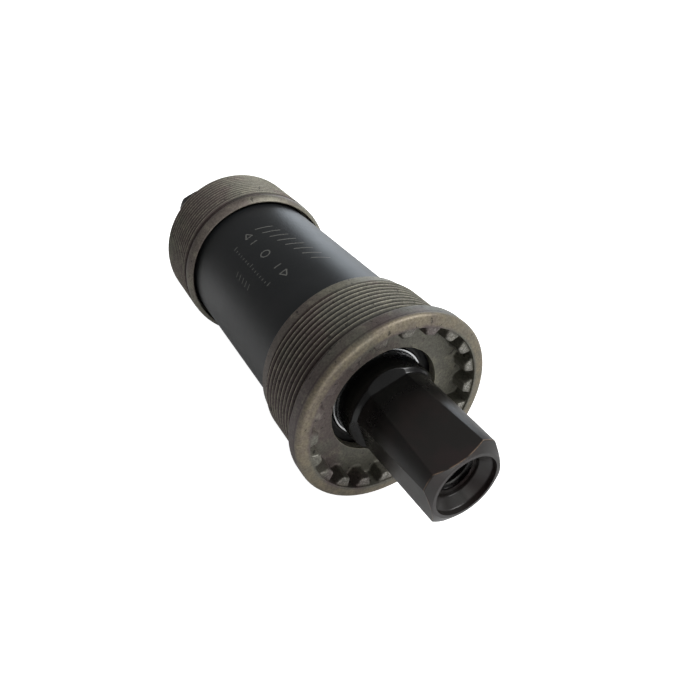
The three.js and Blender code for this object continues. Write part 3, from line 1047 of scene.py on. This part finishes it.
def build_seal(settings, label, side, which):
    """A moulded seal: a lip at its bore, a pressed groove, and a bead in the race's recess."""
    node = f"{label}_{which}_seal"
    near, far, outer = extent(node)
    race = settings.bearing
    circle = math.hypot(*ball_places(label)[0][1].yz)
    inner = (race.nose if which == "outer" else circle - race.land_offset) + 0.1 * MM
    outwards = (far, near) if which == "outer" else (near, far)
    face, reverse = outwards
    dip = (reverse - face) * 0.35
    profile = soften([
        (reverse, inner + 0.15 * MM, 0.05 * MM),
        (face, inner, 0.08 * MM),
        (face, inner + 0.55 * MM, 0.12 * MM),
        (face + dip, inner + 0.80 * MM, 0.12 * MM),
        (face + dip, outer - 1.30 * MM, 0.12 * MM),
        (face, outer - 1.00 * MM, 0.12 * MM),
        (face, outer, 0.10 * MM),
        (reverse, outer, 0.10 * MM),
    ], closed=True)
    skin = Skin()
    skin.lathe(profile, even_angles(144), side)
    return skin.finish(f"{node}_detailed")


def build_ball(name, centre, radius):
    bm = bmesh.new()
    bmesh.ops.create_icosphere(bm, subdivisions=4, radius=radius, matrix=Matrix.Translation(centre))
    mesh = bpy.data.meshes.new(f"{name}_detailed")
    bm.to_mesh(mesh)
    bm.free()
    return show(f"{name}_detailed", mesh)


def build_cage(settings, label, side):
    """A crown cage: a ring with a round pocket for each ball and a prong on each side of it."""
    start, end, outer = extent(f"{label}_ball_cage")
    balls = ball_places(label)
    inner = 2 * math.hypot(*balls[0][1].yz) - outer
    skin = Skin()
    skin.lathe(soften([
        (start, inner, 0.15 * MM),
        (start, outer, 0.15 * MM),
        (end, outer, 0.10 * MM),
        (end, inner, 0.10 * MM),
    ], closed=True), even_angles(132), side)
    body = skin.finish(f"{label}_cage_blank")
    bm = bmesh.new()
    for _, centre, _ in balls:
        bmesh.ops.create_icosphere(
            bm, subdivisions=4, radius=settings.bearing.pocket, matrix=Matrix.Translation(centre)
        )
    pockets = bpy.data.meshes.new(f"{label}_cage_pockets")
    bm.to_mesh(pockets)
    bm.free()
    cutter = bpy.data.objects.new(f"{label}_cage_pockets", pockets)
    bpy.context.scene.collection.objects.link(cutter)
    body.modifiers.clear()
    cut = body.modifiers.new("Pockets", "BOOLEAN")
    cut.operation = "DIFFERENCE"
    cut.solver = "EXACT"
    cut.object = cutter
    graph = bpy.context.evaluated_depsgraph_get()
    mesh = bpy.data.meshes.new_from_object(body.evaluated_get(graph))
    mesh.name = f"{label}_ball_cage_detailed"
    for spent in (body, cutter):
        bpy.data.objects.remove(spent)
    return show(f"{label}_ball_cage_detailed", mesh)


# --- Operators ------------------------------------------------------------------------------

def shared(name, make, *values):
    """A material by name, made the first time that it is asked for."""
    return bpy.data.materials.get(name) or make(*values)


class PieceOperator:
    bl_options = {"REGISTER", "UNDO"}

    @property
    def settings(self):
        return bpy.context.scene.bottom_bracket


class BRACKET_OT_drive_cup(PieceOperator, bpy.types.Operator):
    """Builds the flanged drive-side cup, with its left-hand thread and tool splines"""

    bl_idname = "bottom_bracket.drive_cup"
    bl_label = "Drive cup"

    def execute(self, context):
        chosen = self.settings
        material = phosphate_steel("Drive cup steel", chosen.cup, chosen.finish, "drive_cup")
        place(build_drive_cup(chosen), "cartridge", "phosphate_steel", material, "drive_cup")
        return {"FINISHED"}


class BRACKET_OT_left_cup(PieceOperator, bpy.types.Operator):
    """Builds the loose left cup, with its right-hand thread and tool splines"""

    bl_idname = "bottom_bracket.left_cup"
    bl_label = "Left cup"

    def execute(self, context):
        chosen = self.settings
        material = phosphate_steel("Left cup steel", chosen.cup, chosen.finish, "left_cup")
        place(build_left_cup(chosen), "left_cup", "phosphate_steel", material, "left_cup")
        return {"FINISHED"}


class BRACKET_OT_shell(PieceOperator, bpy.types.Operator):
    """Builds the black tube that holds both bearings, and the pale setting marks on it"""

    bl_idname = "bottom_bracket.shell"
    bl_label = "Cartridge shell"

    def execute(self, context):
        chosen = self.settings
        black = black_shell(chosen.finish)
        place(build_shell(), "cartridge", "black_shell", black, "cartridge_shell")
        place(build_marks(), "cartridge", "black_shell", mark_print(chosen.finish))
        return {"FINISHED"}


class BRACKET_OT_spindle(PieceOperator, bpy.types.Operator):
    """Builds the spindle, with its square tapers and threaded bolt holes"""

    bl_idname = "bottom_bracket.spindle"
    bl_label = "Spindle"

    def execute(self, context):
        chosen = self.settings
        black = black_spindle(chosen.spindle, chosen.finish)
        place(build_spindle(chosen), "spindle", "black_spindle", black, "spindle")
        return {"FINISHED"}


class BRACKET_OT_races(PieceOperator, bpy.types.Operator):
    """Builds the inner and outer races and the four seals"""

    bl_idname = "bottom_bracket.races"
    bl_label = "Races and seals"

    def execute(self, context):
        chosen = self.settings
        steel = shared("Bearing steel", bearing_steel, chosen.finish)
        rubber = shared("Seal rubber", seal_rubber, chosen.finish)
        bodies = {"inner_race": "spindle", "outer_race": "cartridge"}
        for label, side in SIDES.items():
            for kind, race in build_races(chosen, label, side).items():
                place(race, bodies[kind], "bearing_steel", steel, f"{label}_{kind}")
            for which in ("outer", "inner"):
                seal = build_seal(chosen, label, side, which)
                place(seal, "cartridge", "seal_rubber", rubber, f"{label}_{which}_seal")
        return {"FINISHED"}


class BRACKET_OT_balls(PieceOperator, bpy.types.Operator):
    """Builds the balls and their cages"""

    bl_idname = "bottom_bracket.balls"
    bl_label = "Balls and cages"

    def execute(self, context):
        chosen = self.settings
        steel = shared("Bearing steel", bearing_steel, chosen.finish)
        nylon = shared("Cage nylon", cage_nylon, chosen.finish)
        for label, side in SIDES.items():
            body = f"{label}_ball_set"
            cage = build_cage(chosen, label, side)
            place(cage, body, "nylon", nylon, f"{label}_ball_cage")
            for name, centre, radius in ball_places(label):
                place(build_ball(name, centre, radius), body, "bearing_steel", steel, name)
        return {"FINISHED"}


class BRACKET_OT_stage(PieceOperator, bpy.types.Operator):
    """Sets the pale floor, the soft lights and the camera"""

    bl_idname = "bottom_bracket.stage"
    bl_label = "Stage"

    def execute(self, context):
        add_floor()
        add_world()
        add_lights()
        add_camera()
        context.scene.view_settings.view_transform = "Standard"
        return {"FINISHED"}


# --- Stage ----------------------------------------------------------------------------------

CAMERA_AZIMUTH = math.radians(59.633)
CAMERA_ELEVATION = math.radians(37.050)
CAMERA_DISTANCE = 120.895 * MM
CAMERA_AIM = (1.2545 * MM, 0.0, 0.0)
CAMERA_SLIDE = (10.289 * MM, -8.256 * MM)
CAMERA_LENS = 29.643
SENSOR = 36.0


def facing(azimuth, elevation):
    """The unit vector from the object towards a viewer."""
    flat = math.cos(elevation)
    return Vector((math.sin(azimuth) * flat, -math.cos(azimuth) * flat, math.sin(elevation)))


def add_camera():
    lens = bpy.data.cameras.new("Camera")
    lens.lens = CAMERA_LENS
    lens.sensor_width = SENSOR
    lens.clip_start = 1 * MM
    camera = bpy.data.objects.new("Camera", lens)
    bpy.context.scene.collection.objects.link(camera)
    back = facing(CAMERA_AZIMUTH, CAMERA_ELEVATION)
    right = Vector((math.cos(CAMERA_AZIMUTH), math.sin(CAMERA_AZIMUTH), 0))
    up = back.cross(right)
    aim = Vector(CAMERA_AIM) + right * CAMERA_SLIDE[0] + up * CAMERA_SLIDE[1]
    camera.location = aim + back * CAMERA_DISTANCE
    camera.rotation_euler = (-back).to_track_quat("-Z", "Y").to_euler()
    bpy.context.scene.camera = camera


def add_floor():
    bm = bmesh.new()
    bmesh.ops.create_grid(bm, x_segments=2, y_segments=2, size=3.0)
    mesh = bpy.data.meshes.new("floor")
    bm.to_mesh(mesh)
    bm.free()
    floor = bpy.data.objects.new("floor", mesh)
    floor.location.z = CAD_BOX[0].z - 0.02 * MM
    bpy.context.scene.collection.objects.link(floor)
    paper = Finish("White paper", metallic=0.0, specular=0.2)
    tone = paper.mix(paper.noise(40, 2), (0.78, 0.78, 0.78), (0.82, 0.82, 0.82))
    paper.surface(tone, 0.8, Emission_Color=(1.0, 1.0, 1.0))
    glow = 0.12 + paper.seen_by_camera() * 0.83
    paper.feed(paper.shader.inputs["Emission Strength"], glow)
    mesh.materials.append(paper.material)


def add_world():
    world = bpy.data.worlds.new("Studio")
    nodes = Nodes(world)
    background = nodes.tree.nodes["Background"]
    background.inputs["Color"].default_value = (1.0, 1.0, 1.0, 1)
    nodes.feed(background.inputs["Strength"], 0.18 + nodes.seen_by_camera() * 0.82)
    bpy.context.scene.world = world


def add_lights():
    """Large soft lights: name, azimuth, elevation, distance, size, power and tint."""
    lights = (
        ("Key light", 150, 50, 0.70, 0.50, 4.8, (1.0, 1.0, 1.0)),
        ("Front light", 95, 10, 0.70, 0.40, 1.6, (1.0, 1.0, 0.97)),
        ("Side light", 224, 8, 0.80, 0.50, 1.7, (0.84, 0.92, 1.0)),
    )
    for name, azimuth, elevation, distance, size, power, tint in lights:
        lamp = bpy.data.lights.new(name, "AREA")
        lamp.shape = "DISK"
        lamp.size = size
        lamp.energy = power
        lamp.color = tint
        light = bpy.data.objects.new(name, lamp)
        bpy.context.scene.collection.objects.link(light)
        towards = facing(math.radians(azimuth), math.radians(elevation))
        light.location = towards * distance
        light.rotation_euler = towards.to_track_quat("Z", "Y").to_euler()


# --- Panel and registration -----------------------------------------------------------------

OPERATORS = (
    BRACKET_OT_drive_cup,
    BRACKET_OT_left_cup,
    BRACKET_OT_shell,
    BRACKET_OT_spindle,
    BRACKET_OT_races,
    BRACKET_OT_balls,
    BRACKET_OT_stage,
)


class BRACKET_PT_panel(bpy.types.Panel):
    """Lists the steps that build the bottom bracket"""

    bl_label = "Bottom Bracket"
    bl_idname = "BRACKET_PT_panel"
    bl_space_type = "VIEW_3D"
    bl_region_type = "UI"
    bl_category = "Bottom Bracket"

    def draw(self, context):
        for operator in OPERATORS:
            self.layout.operator(operator.bl_idname)


CLASSES = (
    CupSettings,
    SplineSettings,
    SpindleSettings,
    BearingSettings,
    FinishSettings,
    BracketSettings,
    *OPERATORS,
    BRACKET_PT_panel,
)


def register():
    for item in CLASSES:
        bpy.utils.register_class(item)
    bpy.types.Scene.bottom_bracket = PointerProperty(type=BracketSettings)


def unregister():
    del bpy.types.Scene.bottom_bracket
    for item in reversed(CLASSES):
        bpy.utils.unregister_class(item)


def main():
    """Registers the add-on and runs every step."""
    register()
    for operator in OPERATORS:
        group, name = operator.bl_idname.split(".")
        getattr(getattr(bpy.ops, group), name)()


if __name__ == "__main__":
    main()
